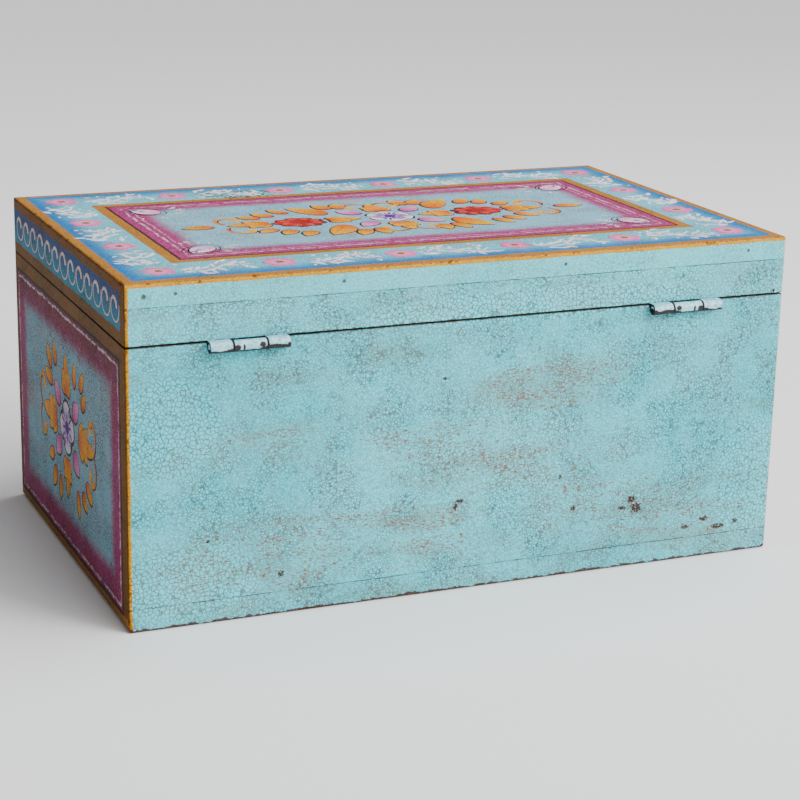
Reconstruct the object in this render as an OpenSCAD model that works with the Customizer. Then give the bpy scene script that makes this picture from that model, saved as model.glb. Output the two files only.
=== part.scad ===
// Painted wooden chest: a nailed board carcass and a box lid on two butt hinges.
// Millimetres. The origin is the centre of the underside, +X runs along the length, +Y to the hinges, +Z up.

/* [Chest] */
// Length along X
chest_w = 420; // [410:1:460]
// Depth along Y
chest_d = 260; // [240:1:300]
// Height with the lid shut
chest_h = 203; // [200:1:240]
// Thickness of every board
board = 14; // [13:1:15]
// Height of the lid's lower edge above the ground
lid_bottom = 168; // [150:1:170]
// Rounding of the outer edges
edge_r = 1.8; // [1:0.1:3]
// Rounding of the lower corners of the front, the back and the section between them
foot_r = 3.5; // [3:0.1:5]
// Opening between lid and carcass at the hinge side
seam_back = 1.2; // [1:0.1:1.6]
// Opening between lid and carcass at the front
seam_front = 0.4; // [0.3:0.1:0.8]
// Width of the strip nailed along the lid's back edge
strip_w = 14; // [12:1:20]

/* [Hinges] */
// Length of each hinge
hinge_len = 47; // [42:0.5:60]
// Distance of each hinge's centre from the chest's middle
hinge_x = 139.5; // [110:0.5:150]
// Outer radius of the barrel
barrel_r = 3.3; // [3.2:0.1:3.8]
// Radius of the pin
pin_r = 2; // [1.6:0.05:2.1]
// Thickness of the sheet that the leaves are cut from
leaf_t = 1.2; // [1:0.1:1.2]
// How far a leaf reaches in from the back face
leaf_in = 12; // [10:0.5:12.5]
// Length of the middle knuckle
middle_knuckle = 19.6; // [16:0.2:22]

/* [Nails and screws] */
// Diameter of a nail's shank
nail_d = 1.4; // [1.2:0.1:1.6]
// Diameter of a nail's head
nail_head_d = 2; // [1.8:0.1:2.6]
// Diameter of a screw's shank
screw_d = 2.6; // [2.2:0.1:3]
// Length of a screw
screw_len = 12; // [9:0.5:12]

/* [Hidden] */
$fn = 48;

turquoise = [0.55, 0.79, 0.82];
ochre = [0.72, 0.53, 0.16];
plum = [0.62, 0.36, 0.52];
sky = [0.35, 0.66, 0.86];
bare_wood = [0.55, 0.38, 0.24];
iron = [0.32, 0.31, 0.31];
steel = [0.6, 0.6, 0.6];

// Room left round a fastener in its hole, and between parts that turn on each other
fit = 0.02;
running = 0.05;
clear = 0.3;
// Reach of a cutting shape past the face that it cuts
over = 1;

back_y = chest_d / 2;
front_y = -chest_d / 2;
carcass_top_back = lid_bottom - seam_back;
carcass_top_front = lid_bottom - seam_front;
lid_under = chest_h - board;
inner_d = chest_d - 2 * board;
nail_line_x = chest_w / 2 - board / 2;
nail_line_y = chest_d / 2 - board / 2;

// Hinges: the lid's leaf lies in the seam, the body's leaf in a housing below it, and the barrel stands
// clear of the back face with its top level with the lid's lower edge
leaf_gap = clear;
lid_leaf_z = lid_bottom - leaf_t;
body_leaf_z = lid_leaf_z - leaf_gap - leaf_t;
barrel_gap = 0.4;
axis_y = back_y + barrel_r + barrel_gap;
axis_z = lid_bottom - barrel_r;
knuckle_gap = 0.4;
pin_recess = 0.5;
leaf_setback = 0.7;
notch_y = back_y - leaf_setback;
hinge_screw_pitch = 16;
screw_tip = 3;
slot_w = 0.6;
slot_deep = 0.4;
left_hinge_x = -hinge_x;
right_hinge_x = hinge_x;

// Nails: how far below the surface a filled nail's head sits, and a bare one's
sunk_filled = 1;
sunk_bare = 0.4;
nail_head_t = 1;
tip_d = 0.3;
nail_point_len = 3 * nail_d;
corner_nail_len = 36;
floor_nail_len = 38;
top_nail_longest = 30;
top_nail_spare = 5;
top_nail_len = min(top_nail_longest, chest_h - lid_bottom - top_nail_spare);
strip_nail_len = 36;
upper_nail_drop = 20;
carcass_nail_z = [2 * board, (carcass_top_back + board) / 2, carcass_top_back - upper_nail_drop];
lid_corner_nail_z = (lid_bottom + lid_under) / 2;
long_side_nail_x = [-172, -75, 0, 75, 172];
end_nail_y = [-50, 50];
strip_nail_x = [-183, -58, 82, 181, 199];

// A rectangle with rounded corners
module rounded_rect(w, h, r) {
    square([w - 2 * r, h], center = true);
    square([w, h - 2 * r], center = true);
    for (x = [-1, 1], y = [-1, 1])
        translate([x * (w / 2 - r), y * (h / 2 - r)]) circle(r);
}

// The same, with its two lower corners rounder
module footed_rect(w, h, r, low_r) {
    square([w - 2 * low_r, h], center = true);
    translate([0, (low_r - r) / 2]) square([w, h - low_r - r], center = true);
    translate([0, (h - low_r) / 2]) square([w - 2 * r, low_r], center = true);
    for (side = [-1, 1]) {
        translate([side * (w / 2 - low_r), low_r - h / 2]) circle(low_r);
        translate([side * (w / 2 - r), h / 2 - r]) circle(r);
    }
}

// The outer form of the shut chest from z = 0 to the top: every long edge is rounded
module chest_form() {
    intersection() {
        linear_extrude(chest_h) rounded_rect(chest_w, chest_d, edge_r);
        translate([0, 0, chest_h / 2]) rotate([90, 0, 0])
            linear_extrude(chest_d, center = true) footed_rect(chest_w, chest_h, edge_r, foot_r);
        translate([0, 0, chest_h / 2]) rotate([90, 0, 90])
            linear_extrude(chest_w, center = true) rounded_rect(chest_d, chest_h, edge_r);
    }
}

// Everything above the carcass's top edge, which rises a little from back to front
module above_carcass() {
    rotate([90, 0, 90])
        linear_extrude(chest_w + 2 * over, center = true)
            polygon([
                [front_y - over, carcass_top_front],
                [back_y + over, carcass_top_back],
                [back_y + over, chest_h + over],
                [front_y - over, chest_h + over]
            ]);
}

// A nail pointing along -Z, with its head's top at the origin
module nail(length) {
    translate([0, 0, -nail_head_t]) cylinder(h = nail_head_t, d = nail_head_d);
    translate([0, 0, -length + nail_point_len])
        cylinder(h = length - nail_point_len - nail_head_t, d = nail_d);
    translate([0, 0, -length]) cylinder(h = nail_point_len, d1 = tip_d, d2 = nail_d);
}

// The hole that a nail leaves; open_above carries it up to the surface
module nail_hole(length, open_above = 0) {
    translate([0, 0, -nail_head_t - fit])
        cylinder(h = nail_head_t + fit + open_above, d = nail_head_d + 2 * fit);
    translate([0, 0, -length - fit]) cylinder(h = length, d = nail_d + 2 * fit);
}

// A countersunk screw pointing along -Z, with its head's top at the origin
module screw(sheet) {
    head_d = screw_d + 2 * sheet;
    difference() {
        union() {
            translate([0, 0, -sheet]) cylinder(h = sheet, d1 = screw_d, d2 = head_d);
            translate([0, 0, -screw_len + screw_tip])
                cylinder(h = screw_len - screw_tip - sheet, d = screw_d);
            translate([0, 0, -screw_len]) cylinder(h = screw_tip, d1 = tip_d, d2 = screw_d);
        }
        translate([-head_d, -slot_w / 2, -slot_deep]) cube([2 * head_d, slot_w, slot_deep + over]);
    }
}

// The countersunk hole for a screw in a sheet of that thickness, with its pilot hole below
module screw_hole(sheet) {
    head_d = screw_d + 2 * sheet;
    translate([0, 0, -sheet]) cylinder(h = sheet, d1 = screw_d + 2 * fit, d2 = head_d + 2 * fit);
    translate([0, 0, -screw_len - fit]) cylinder(h = screw_len, d = screw_d + 2 * fit);
}

// Places where each group of nails goes
module at_carcass_nails() {
    for (side = [-1, 1], face = [0, 1], z = carcass_nail_z)
        rotate([0, 0, face * 180])
            translate([side * nail_line_x, back_y - sunk_filled, z]) rotate([-90, 0, 0]) children();
}
module at_lid_corner_nails() {
    for (side = [-1, 1], face = [0, 1])
        rotate([0, 0, face * 180])
            translate([side * nail_line_x, back_y - sunk_filled, lid_corner_nail_z])
                rotate([-90, 0, 0]) children();
}
module at_floor_nails() {
    for (x = long_side_nail_x, y = [-1, 1])
        translate([x, y * nail_line_y, sunk_bare]) rotate([180, 0, 0]) children();
    for (x = [-1, 1], y = end_nail_y)
        translate([x * nail_line_x, y, sunk_bare]) rotate([180, 0, 0]) children();
}
module at_lid_top_nails() {
    for (x = long_side_nail_x, y = [-1, 1])
        translate([x, y * nail_line_y, chest_h - sunk_filled]) children();
    for (x = [-1, 1], y = end_nail_y)
        translate([x * nail_line_x, y, chest_h - sunk_filled]) children();
}
module at_strip_nails() {
    for (x = strip_nail_x)
        translate([x, back_y - sunk_bare, chest_h - board / 2]) rotate([-90, 0, 0]) children();
}
module at_hinge_screws(mid_x, z, facing) {
    for (i = [-1:1])
        translate([mid_x + i * hinge_screw_pitch, back_y - board / 2, z])
            rotate([facing > 0 ? 0 : 180, 0, 0]) children();
}
// Housings in the back board for the leaves, with room round them, and the screws' pilot holes
module hinge_housings() {
    for (x = [left_hinge_x, right_hinge_x]) {
        translate([x - hinge_len / 2 - clear, back_y - leaf_in - clear, body_leaf_z])
            cube([hinge_len + 2 * clear, leaf_in + clear + over, lid_bottom - body_leaf_z]);
        at_hinge_screws(x, body_leaf_z + leaf_t, 1) screw_hole(leaf_t);
    }
}
module lid_hinge_screw_holes() {
    for (x = [left_hinge_x, right_hinge_x])
        at_hinge_screws(x, lid_leaf_z, -1) screw_hole(leaf_t);
}

// Floor and walls
module floor_board() {
    color(bare_wood) difference() {
        intersection() {
            chest_form();
            translate([-chest_w / 2, front_y, 0]) cube([chest_w, chest_d, board]);
        }
        at_floor_nails() nail_hole(floor_nail_len, over);
    }
}
module long_wall(face) {
    y = face > 0 ? back_y - board : front_y;
    difference() {
        intersection() {
            chest_form();
            translate([-chest_w / 2, y, board]) cube([chest_w, board, lid_bottom - board]);
        }
        above_carcass();
        at_floor_nails() nail_hole(floor_nail_len);
        at_carcass_nails() nail_hole(corner_nail_len);
        if (face > 0) hinge_housings();
    }
}
module back_board() { color(turquoise) long_wall(1); }
module front_board() { color(plum) long_wall(-1); }
module end_wall(side) {
    x = side > 0 ? chest_w / 2 - board : -chest_w / 2;
    difference() {
        intersection() {
            chest_form();
            translate([x, -inner_d / 2, board]) cube([board, inner_d, lid_bottom - board]);
        }
        above_carcass();
        at_floor_nails() nail_hole(floor_nail_len);
        at_carcass_nails() nail_hole(corner_nail_len);
    }
}
module left_end_board() { color(plum) end_wall(-1); }
module right_end_board() { color(plum) end_wall(1); }
module carcass_nails() { color(steel) at_carcass_nails() nail(corner_nail_len); }
module floor_nails() { color(steel) at_floor_nails() nail(floor_nail_len); }

// Butt hinges: the lid's leaf rolls the two outer knuckles, which grip the pin, and the body's leaf the
// middle one, which turns on it
module barrel(x, length, r, bore_r) {
    translate([x - length / 2, 0, 0]) rotate([0, 90, 0]) difference() {
        cylinder(h = length, r = r);
        translate([0, 0, -over]) cylinder(h = length + 2 * over, r = bore_r);
    }
}
module leaf_tab(mid_x, x, length, z, bore) {
    translate([mid_x, axis_y, axis_z]) barrel(x, length, barrel_r, bore);
    difference() {
        translate([mid_x + x - length / 2, notch_y - over, z])
            cube([length, axis_y - notch_y + over, leaf_t]);
        translate([mid_x + x - length, axis_y, axis_z])
            rotate([0, 90, 0]) cylinder(h = 2 * length, r = bore);
    }
}
module leaf_plate(mid_x, z) {
    translate([mid_x - hinge_len / 2, back_y - leaf_in, z])
        cube([hinge_len, notch_y - back_y + leaf_in, leaf_t]);
}
module body_leaf(mid_x) {
    difference() {
        union() {
            leaf_plate(mid_x, body_leaf_z);
            leaf_tab(mid_x, 0, middle_knuckle, body_leaf_z, pin_r + running);
        }
        at_hinge_screws(mid_x, body_leaf_z + leaf_t, 1) screw_hole(leaf_t);
    }
}
module lid_leaf(mid_x) {
    outer = (hinge_len - middle_knuckle) / 2 - knuckle_gap;
    difference() {
        union() {
            leaf_plate(mid_x, lid_leaf_z);
            for (side = [-1, 1])
                leaf_tab(mid_x, side * (hinge_len - outer) / 2, outer, lid_leaf_z, pin_r);
        }
        at_hinge_screws(mid_x, lid_leaf_z, -1) screw_hole(leaf_t);
    }
}
module hinge_pin(mid_x) {
    length = hinge_len - 2 * pin_recess;
    translate([mid_x - length / 2, axis_y, axis_z]) rotate([0, 90, 0]) cylinder(h = length, r = pin_r);
}
module left_hinge_body_leaf() { color(turquoise) body_leaf(left_hinge_x); }
module left_hinge_lid_leaf() { color(turquoise) lid_leaf(left_hinge_x); }
module left_hinge_pin() { color(iron) hinge_pin(left_hinge_x); }
module left_hinge_body_screws() {
    color(steel) at_hinge_screws(left_hinge_x, body_leaf_z + leaf_t, 1) screw(leaf_t);
}
module left_hinge_lid_screws() {
    color(steel) at_hinge_screws(left_hinge_x, lid_leaf_z, -1) screw(leaf_t);
}
module right_hinge_body_leaf() { color(turquoise) body_leaf(right_hinge_x); }
module right_hinge_lid_leaf() { color(turquoise) lid_leaf(right_hinge_x); }
module right_hinge_pin() { color(iron) hinge_pin(right_hinge_x); }
module right_hinge_body_screws() {
    color(steel) at_hinge_screws(right_hinge_x, body_leaf_z + leaf_t, 1) screw(leaf_t);
}
module right_hinge_lid_screws() {
    color(steel) at_hinge_screws(right_hinge_x, lid_leaf_z, -1) screw(leaf_t);
}

// Lid: a top board and its back strip on a frame of four rails
module lid_plank(y_from, y_to) {
    difference() {
        intersection() {
            chest_form();
            translate([-chest_w / 2, y_from, lid_under]) cube([chest_w, y_to - y_from, board]);
        }
        at_lid_top_nails() nail_hole(top_nail_len);
        at_strip_nails() nail_hole(strip_nail_len, over);
    }
}
module lid_top_board() { color(sky) lid_plank(front_y, back_y - strip_w); }
module lid_back_strip() { color(turquoise) lid_plank(back_y - strip_w, back_y); }
module lid_rail(x_from, x_to, y_from, y_to) {
    difference() {
        intersection() {
            chest_form();
            translate([x_from, y_from, lid_bottom])
                cube([x_to - x_from, y_to - y_from, lid_under - lid_bottom]);
        }
        at_lid_top_nails() nail_hole(top_nail_len);
        at_lid_corner_nails() nail_hole(corner_nail_len);
        if (y_to == back_y) lid_hinge_screw_holes();
    }
}
module lid_back_rail() { color(turquoise) lid_rail(-chest_w / 2, chest_w / 2, back_y - board, back_y); }
module lid_front_rail() { color(ochre) lid_rail(-chest_w / 2, chest_w / 2, front_y, front_y + board); }
module lid_end_rail(x_from) { lid_rail(x_from, x_from + board, -inner_d / 2, inner_d / 2); }
module lid_left_rail() { color(ochre) lid_end_rail(-chest_w / 2); }
module lid_right_rail() { color(ochre) lid_end_rail(chest_w / 2 - board); }
module lid_strip_nails() { color(steel) at_strip_nails() nail(strip_nail_len); }
module lid_corner_nails() { color(steel) at_lid_corner_nails() nail(corner_nail_len); }
module lid_top_nails() { color(steel) at_lid_top_nails() nail(top_nail_len); }

floor_board();
back_board();
front_board();
left_end_board();
right_end_board();
carcass_nails();
floor_nails();
left_hinge_body_leaf();
left_hinge_lid_leaf();
left_hinge_pin();
left_hinge_body_screws();
left_hinge_lid_screws();
right_hinge_body_leaf();
right_hinge_lid_leaf();
right_hinge_pin();
right_hinge_body_screws();
right_hinge_lid_screws();
lid_top_board();
lid_back_strip();
lid_back_rail();
lid_front_rail();
lid_left_rail();
lid_right_rail();
lid_strip_nails();
lid_corner_nails();
lid_top_nails();
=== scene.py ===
"""Looks for a painted wooden chest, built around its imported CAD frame.

Sizes and places inside a material or a motif are millimetres in the row frame, and MM turns them into
metres. The back, with the hinges, is at +Y. Each painted face has a canvas with u to the right and v up.
"""
import math
import random

import bmesh
import bpy
from mathutils import Matrix, Vector


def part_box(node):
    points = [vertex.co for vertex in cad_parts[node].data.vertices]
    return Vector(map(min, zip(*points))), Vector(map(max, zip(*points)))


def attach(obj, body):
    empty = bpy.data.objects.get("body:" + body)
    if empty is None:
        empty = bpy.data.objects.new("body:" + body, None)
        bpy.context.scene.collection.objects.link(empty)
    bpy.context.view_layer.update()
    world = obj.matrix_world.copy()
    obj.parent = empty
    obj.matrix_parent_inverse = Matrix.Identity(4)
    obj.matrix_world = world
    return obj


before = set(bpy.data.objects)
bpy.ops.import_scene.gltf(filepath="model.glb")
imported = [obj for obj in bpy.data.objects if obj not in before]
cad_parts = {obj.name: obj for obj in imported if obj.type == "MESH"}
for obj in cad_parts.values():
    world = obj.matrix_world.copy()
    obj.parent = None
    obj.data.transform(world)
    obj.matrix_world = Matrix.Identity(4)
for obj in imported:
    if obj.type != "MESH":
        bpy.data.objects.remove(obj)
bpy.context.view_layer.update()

MM = 0.001


FLOOR_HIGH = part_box("floor_board")[1] / MM
HALF_W = FLOOR_HIGH.x
HALF_D = FLOOR_HIGH.y
HEIGHT = (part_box("lid_top_board")[1] / MM).z
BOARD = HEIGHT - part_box("lid_top_board")[0].z / MM
LID_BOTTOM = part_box("lid_back_rail")[0].z / MM
CARCASS_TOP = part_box("back_board")[1].z / MM
SEAM = (LID_BOTTOM + CARCASS_TOP) / 2
HINGE_LOW, HINGE_HIGH = [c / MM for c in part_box("right_hinge_lid_leaf")]
HINGE_X = (HINGE_LOW.x + HINGE_HIGH.x) / 2
PIN_Z = sum(c.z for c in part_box("right_hinge_pin")) / 2 / MM
PIN_Y = sum(c.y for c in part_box("right_hinge_pin")) / 2 / MM
PIN_RADIUS = (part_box("right_hinge_pin")[1].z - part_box("right_hinge_pin")[0].z) / 2 / MM
KNUCKLE_END = (HINGE_HIGH.x - HINGE_LOW.x) / 2
KNUCKLE_JOINT = 10.0


def paint(red, green, blue):
    """A colour given as 0 to 255 display values, made linear for the shaders."""
    def linear(value):
        value /= 255.0
        return value / 12.92 if value <= 0.04045 else ((value + 0.055) / 1.055) ** 2.4
    return (linear(red), linear(green), linear(blue), 1.0)


TURQUOISE = paint(94, 220, 234)
TURQUOISE_DEEP = paint(76, 204, 218)
TURQUOISE_PALE = paint(134, 232, 240)
TURQUOISE_GREEN = paint(100, 212, 212)
CRACK_GREY = paint(44, 42, 30)
CRACK_BROWN = paint(92, 48, 12)
DUST = paint(126, 112, 76)
CRACK_RED = paint(142, 74, 0)
OCHRE = paint(124, 80, 0)
OCHRE_EDGE = paint(214, 152, 0)
TAN = paint(178, 122, 48)
NAVY = paint(10, 10, 34)
MAUVE = paint(160, 40, 112)
PLUM = paint(108, 0, 48)
FIELD_BLUE = paint(126, 192, 212)
SKY_DEEP = paint(0, 122, 190)
SKY_PALE = paint(112, 200, 220)
LID_BLUE = paint(0, 84, 154)
LID_TEAL = paint(0, 150, 186)
WOOD_PALE = paint(158, 100, 54)
WOOD_DARK = paint(80, 42, 20)
WORN_WOOD = paint(74, 28, 8)
# Dark brown for dirt, joints and worn spots, and also for the painted shade on the ends
GRIME_AND_SHADE = paint(24, 16, 10)
HINGE_PAINT = paint(168, 222, 232)
HINGE_SHADE = paint(116, 184, 198)
IRON = paint(18, 15, 16)
RUST = paint(76, 36, 18)
STEEL = paint(120, 116, 112)
PINK = paint(236, 88, 168)
PINK_PALE = paint(248, 160, 208)
OLIVE = paint(128, 120, 10)
STROKE_WHITE = paint(250, 240, 246)
ORANGE = paint(252, 184, 0)
SALMON = paint(222, 96, 0)
ROSE = paint(200, 24, 30)
ROSE_PALE = paint(232, 84, 70)
ROSE_DARK = paint(112, 12, 24)
DROP_PINK = paint(206, 62, 160)
DROP_PALE = paint(244, 160, 214)
LILAC = paint(186, 144, 226)
VIOLET = paint(66, 26, 132)
CREAM = paint(248, 226, 220)
GREEN_SPOT = paint(20, 120, 70)


# ------------------------------ shader arithmetic

# Places of a Mix node's colour sockets
MIX_FACTOR = 0
MIX_FIRST = 6
MIX_SECOND = 7
MIX_RESULT = 2
# How strongly paint and metal mirror their surroundings
PAINT_SHINE = 0.12
METAL_SHINE = 0.5


class Field:
    """A number that varies over a surface: the output of a node, with ordinary arithmetic."""

    def __init__(self, graph, out):
        self.graph = graph
        self.out = out

    def __add__(self, other):
        return self.graph.math("ADD", self, other)

    def __radd__(self, other):
        return self.graph.math("ADD", other, self)

    def __sub__(self, other):
        return self.graph.math("SUBTRACT", self, other)

    def __rsub__(self, other):
        return self.graph.math("SUBTRACT", other, self)

    def __mul__(self, other):
        return self.graph.math("MULTIPLY", self, other)

    def __rmul__(self, other):
        return self.graph.math("MULTIPLY", other, self)

    def __truediv__(self, other):
        return self.graph.math("DIVIDE", self, other)

    def __neg__(self):
        return self.graph.math("MULTIPLY", self, -1.0)


class Graph:
    """A material under construction, with the point on the surface in millimetres."""

    def __init__(self, name):
        self.material = bpy.data.materials.new(name)
        self.material.use_nodes = True
        self.nodes = self.material.node_tree.nodes
        self.links = self.material.node_tree.links
        self.shader = self.nodes["Principled BSDF"]
        place = self.nodes.new("ShaderNodeTexCoord")
        scaled = self.nodes.new("ShaderNodeVectorMath")
        scaled.operation = "SCALE"
        scaled.inputs["Scale"].default_value = 1.0 / MM
        self.links.new(place.outputs["Object"], scaled.inputs[0])
        self.point = scaled.outputs[0]
        split = self.nodes.new("ShaderNodeSeparateXYZ")
        self.links.new(self.point, split.inputs[0])
        self.x, self.y, self.z = [Field(self, out) for out in split.outputs]

    def feed(self, socket, value):
        if isinstance(value, Field):
            self.links.new(value.out, socket)
        elif isinstance(value, bpy.types.NodeSocket):
            self.links.new(value, socket)
        else:
            socket.default_value = value

    def math(self, operation, first, second=0.0):
        node = self.nodes.new("ShaderNodeMath")
        node.operation = operation
        self.feed(node.inputs[0], first)
        self.feed(node.inputs[1], second)
        return Field(self, node.outputs[0])

    def most(self, *fields):
        result = fields[0]
        for other in fields[1:]:
            result = self.math("MAXIMUM", result, other)
        return result

    def least(self, *fields):
        result = fields[0]
        for other in fields[1:]:
            result = self.math("MINIMUM", result, other)
        return result

    def size(self, field):
        return self.math("ABSOLUTE", field)

    def rise(self, low, high, field):
        """0 at low and 1 at high, smooth between and level beyond. low may be the larger."""
        node = self.nodes.new("ShaderNodeMapRange")
        node.interpolation_type = "SMOOTHSTEP"
        self.feed(node.inputs["Value"], field)
        node.inputs["From Min"].default_value = low
        node.inputs["From Max"].default_value = high
        return Field(self, node.outputs["Result"])

    def above(self, limit, field, soft=0.35):
        return self.rise(limit - soft, limit + soft, field)

    def below(self, limit, field, soft=0.35):
        return 1.0 - self.above(limit, field, soft)

    def mix(self, factor, first, second):
        """first where factor is 0, second where it is 1."""
        node = self.nodes.new("ShaderNodeMix")
        node.data_type = "RGBA"
        self.feed(node.inputs[MIX_FACTOR], factor)
        self.feed(node.inputs[MIX_FIRST], first)
        self.feed(node.inputs[MIX_SECOND], second)
        return node.outputs[MIX_RESULT]

    def stretch(self, x, y, z):
        node = self.nodes.new("ShaderNodeVectorMath")
        node.operation = "MULTIPLY"
        self.links.new(self.point, node.inputs[0])
        node.inputs[1].default_value = (x, y, z)
        return node.outputs[0]

    def noise(self, scale, detail=2.0, roughness=0.5, vector=None):
        """Noise from 0 to 1 whose features repeat about every 1/scale millimetres."""
        node = self.nodes.new("ShaderNodeTexNoise")
        self.links.new(vector or self.point, node.inputs["Vector"])
        node.inputs["Scale"].default_value = scale
        node.inputs["Detail"].default_value = detail
        node.inputs["Roughness"].default_value = roughness
        return Field(self, node.outputs["Fac"])

    def bent_point(self, amount, scale):
        """The point moved about by noise, so that a pattern made from it looks drawn by hand."""
        noise = self.nodes.new("ShaderNodeTexNoise")
        self.links.new(self.point, noise.inputs["Vector"])
        noise.inputs["Scale"].default_value = scale
        shift = self.nodes.new("ShaderNodeVectorMath")
        shift.operation = "MULTIPLY_ADD"
        self.links.new(noise.outputs["Color"], shift.inputs[0])
        shift.inputs[1].default_value = (amount, amount, amount)
        self.links.new(self.point, shift.inputs[2])
        return shift.outputs[0]

    def cells(self, cell_mm, vector):
        """How far the point is from the border between crackle cells, in cells."""
        node = self.nodes.new("ShaderNodeTexVoronoi")
        node.feature = "DISTANCE_TO_EDGE"
        self.links.new(vector, node.inputs["Vector"])
        node.inputs["Scale"].default_value = 1.0 / cell_mm
        return Field(self, node.outputs["Distance"])

    def blob(self, along, across, centre, radii):
        """1 in the middle of an ellipse on a face, fading to 0 at its rim."""
        first = (along - centre[0]) / radii[0]
        second = (across - centre[1]) / radii[1]
        return 1.0 - self.rise(0.35, 1.0, self.math("SQRT", first * first + second * second))

    def finish(self, colour, roughness, height, bump_mm, metallic=0.0, specular=PAINT_SHINE):
        bump = self.nodes.new("ShaderNodeBump")
        bump.inputs["Strength"].default_value = 1.0
        bump.inputs["Distance"].default_value = bump_mm * MM
        self.feed(bump.inputs["Height"], height)
        self.feed(self.shader.inputs["Base Color"], colour)
        self.feed(self.shader.inputs["Roughness"], roughness)
        self.links.new(bump.outputs["Normal"], self.shader.inputs["Normal"])
        self.shader.inputs["Metallic"].default_value = metallic
        self.shader.inputs["Specular IOR Level"].default_value = specular
        return self.material


# Share of painted shade darkening the ends
END_PAINTED_SHADE = 0.30
# Size of a cell of the crack net, and of the wider net
CRACK_CELL = 1.8
WIDE_CRACK_CELL = 2.6
# Patches of the wider net on the back: (x, z, reach in x, reach in z)
COARSE_PATCHES = ((185, 120, 40, 40), (-40, 173, 150, 13), (175, 26, 60, 30), (-192, 50, 30, 56),
                  (-142, 152, 13, 10))


def crackle(graph):
    """The net of fine cracks in the paint: 0 on whole paint, 1 in a crack."""
    fine = 1.0 - graph.rise(0.05, 0.21, graph.cells(CRACK_CELL, graph.bent_point(2.6, 0.22)))
    open_here = 0.60 + 0.40 * graph.rise(0.36, 0.64, graph.noise(0.45, 3.0, 0.6))
    return fine * open_here * (0.58 + 0.42 * graph.rise(0.38, 0.60, graph.noise(0.04, 3.0)))


def add_patches(graph, places, total):
    """total, with 1 more in the middle of each ellipse on the back and nothing more past its rim."""
    for x, z, reach_x, reach_z in places:
        total = graph.blob(graph.x, graph.z, (x, z), (reach_x, reach_z)) + total
    return total


def with_coarse_patches(graph, cracks, face):
    """The same cracks, but with a wider and more open net in some patches of one face."""
    net = graph.cells(WIDE_CRACK_CELL, graph.bent_point(2.6, 0.22))
    wide = 0.85 - 0.85 * graph.rise(0.03, 0.13, net)
    patch = add_patches(graph, COARSE_PATCHES, 0.22 * graph.noise(0.03, 2.0))
    area = graph.rise(0.15, 0.65, patch) * face
    return wide * area + cracks * (1.0 - area)


# ------------------------------ paint on the boards

# Patches of specks on the back, and single chips: (x, z, reach in x, reach in z)
SPECK_PATCHES = ((-52, 124, 66, 24), (127, 104, 50, 16), (20, 94, 84, 18), (-30, 74, 96, 18),
                 (-92, 44, 76, 28), (128, 34, 90, 38), (-158, 24, 66, 20), (50, 40, 90, 26))
CHIPS = ((-114, 38, 5.2, 4.4), (-110, 44, 4.2, 3.0), (-104, 39, 3.4, 1.6), (-70, 43, 2.2, 2.2),
         (-150, 21, 3.6, 1.8), (-163, 25, 4.2, 2.4), (-174, 19, 7.0, 1.9), (-186, 21, 2.6, 2.2),
         (119, 25, 2.9, 2.4), (163, 50, 1.8, 1.6), (6, 56, 4.0, 2.2), (9, 53, 2.0, 2.8),
         (18, 133, 2.9, 1.1), (-203, 169.5, 1.7, 1.5), (-60, 64, 1.4, 1.9))
# Middle and reach of the worn spots on the top and of the green spot on the lid's back
SCUFF_PLACE = ((66, -98), (44, 20))
GREEN_SPOT_PLACE = ((199, 195), (2.4, 1.7))


class Faces:
    """Which outer face a point belongs to, and how far it is from the nearest arris."""

    def __init__(self, graph):
        g = graph
        self.over_end = g.size(g.x) - HALF_W
        self.over_back = g.y - HALF_D
        self.over_front = -g.y - HALF_D
        self.over_top = g.z - HEIGHT
        self.under = -g.z
        side = self.over_end
        long_side = g.most(self.over_back, self.over_front)
        level = g.most(self.over_top, self.under)
        self.depth = -g.most(side, long_side, level)
        second = g.most(g.least(side, long_side), g.least(g.most(side, long_side), level))
        self.from_arris = -second
        self.top = self.wins(g, self.over_top, side, long_side)
        self.end = self.wins(g, side, long_side, level)
        self.back = self.wins(g, self.over_back, side, level)
        self.bottom = self.wins(g, self.under, side, long_side)
        self.inside = g.above(1.0, self.depth + 0.8 * g.noise(0.5), 0.4)

    @staticmethod
    def wins(g, over, *others):
        return g.above(0.0, over - g.most(*others), 0.12)


# Painted bands: the top border's inner edge from the middle, widths of rules, and heights on the sides
TOP_BORDER_W = 170.0
TOP_BORDER_D = 87.0
TOP_RULE = 7.0
TOP_EDGE_BAND = 6.5
LID_BAND_LOW = 175.0
LID_BAND_HIGH = 196.5
PANEL_LOW = 7.0
PANEL_HIGH = 158.5
FOOT_BAND = 7.5
# Widths of the ochre strips at a side's corners
FRONT_STRIP = 7.0
END_STRIP = 11.0
SHORT_STRIP = 5.0


def framed_panel(g, inward, bright, rim, line_width):
    """A navy line, then a coloured band that fades into the field, by the distance in from the rim."""
    uneven = inward + 6.0 * (g.noise(0.10, 3.0) - 0.5)
    field = g.mix(0.30 * g.rise(0.54, 0.68, g.noise(0.035, 3.0)), FIELD_BLUE, TAN)
    colour = g.mix(g.rise(14.0, 27.0, uneven), rim, field)
    rubbed = g.rise(0.50, 0.66, g.noise(0.75, 4.0, 0.75))
    colour = g.mix(0.40 * rubbed, colour, PINK_PALE)
    colour = g.mix(bright, colour, STROKE_WHITE)
    return g.mix(g.below(line_width, inward), colour, NAVY)


def chalk_line(g, inward, at, width, strength):
    """A thin broken white line, drawn by hand at one distance in from the rim."""
    wander = inward + 3.6 * (g.noise(0.16, 2.0) - 0.5)
    line = g.below(width, g.size(wander - at), 0.5)
    return line * g.rise(0.34, 0.56, g.noise(0.22, 3.0)) * strength


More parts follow.
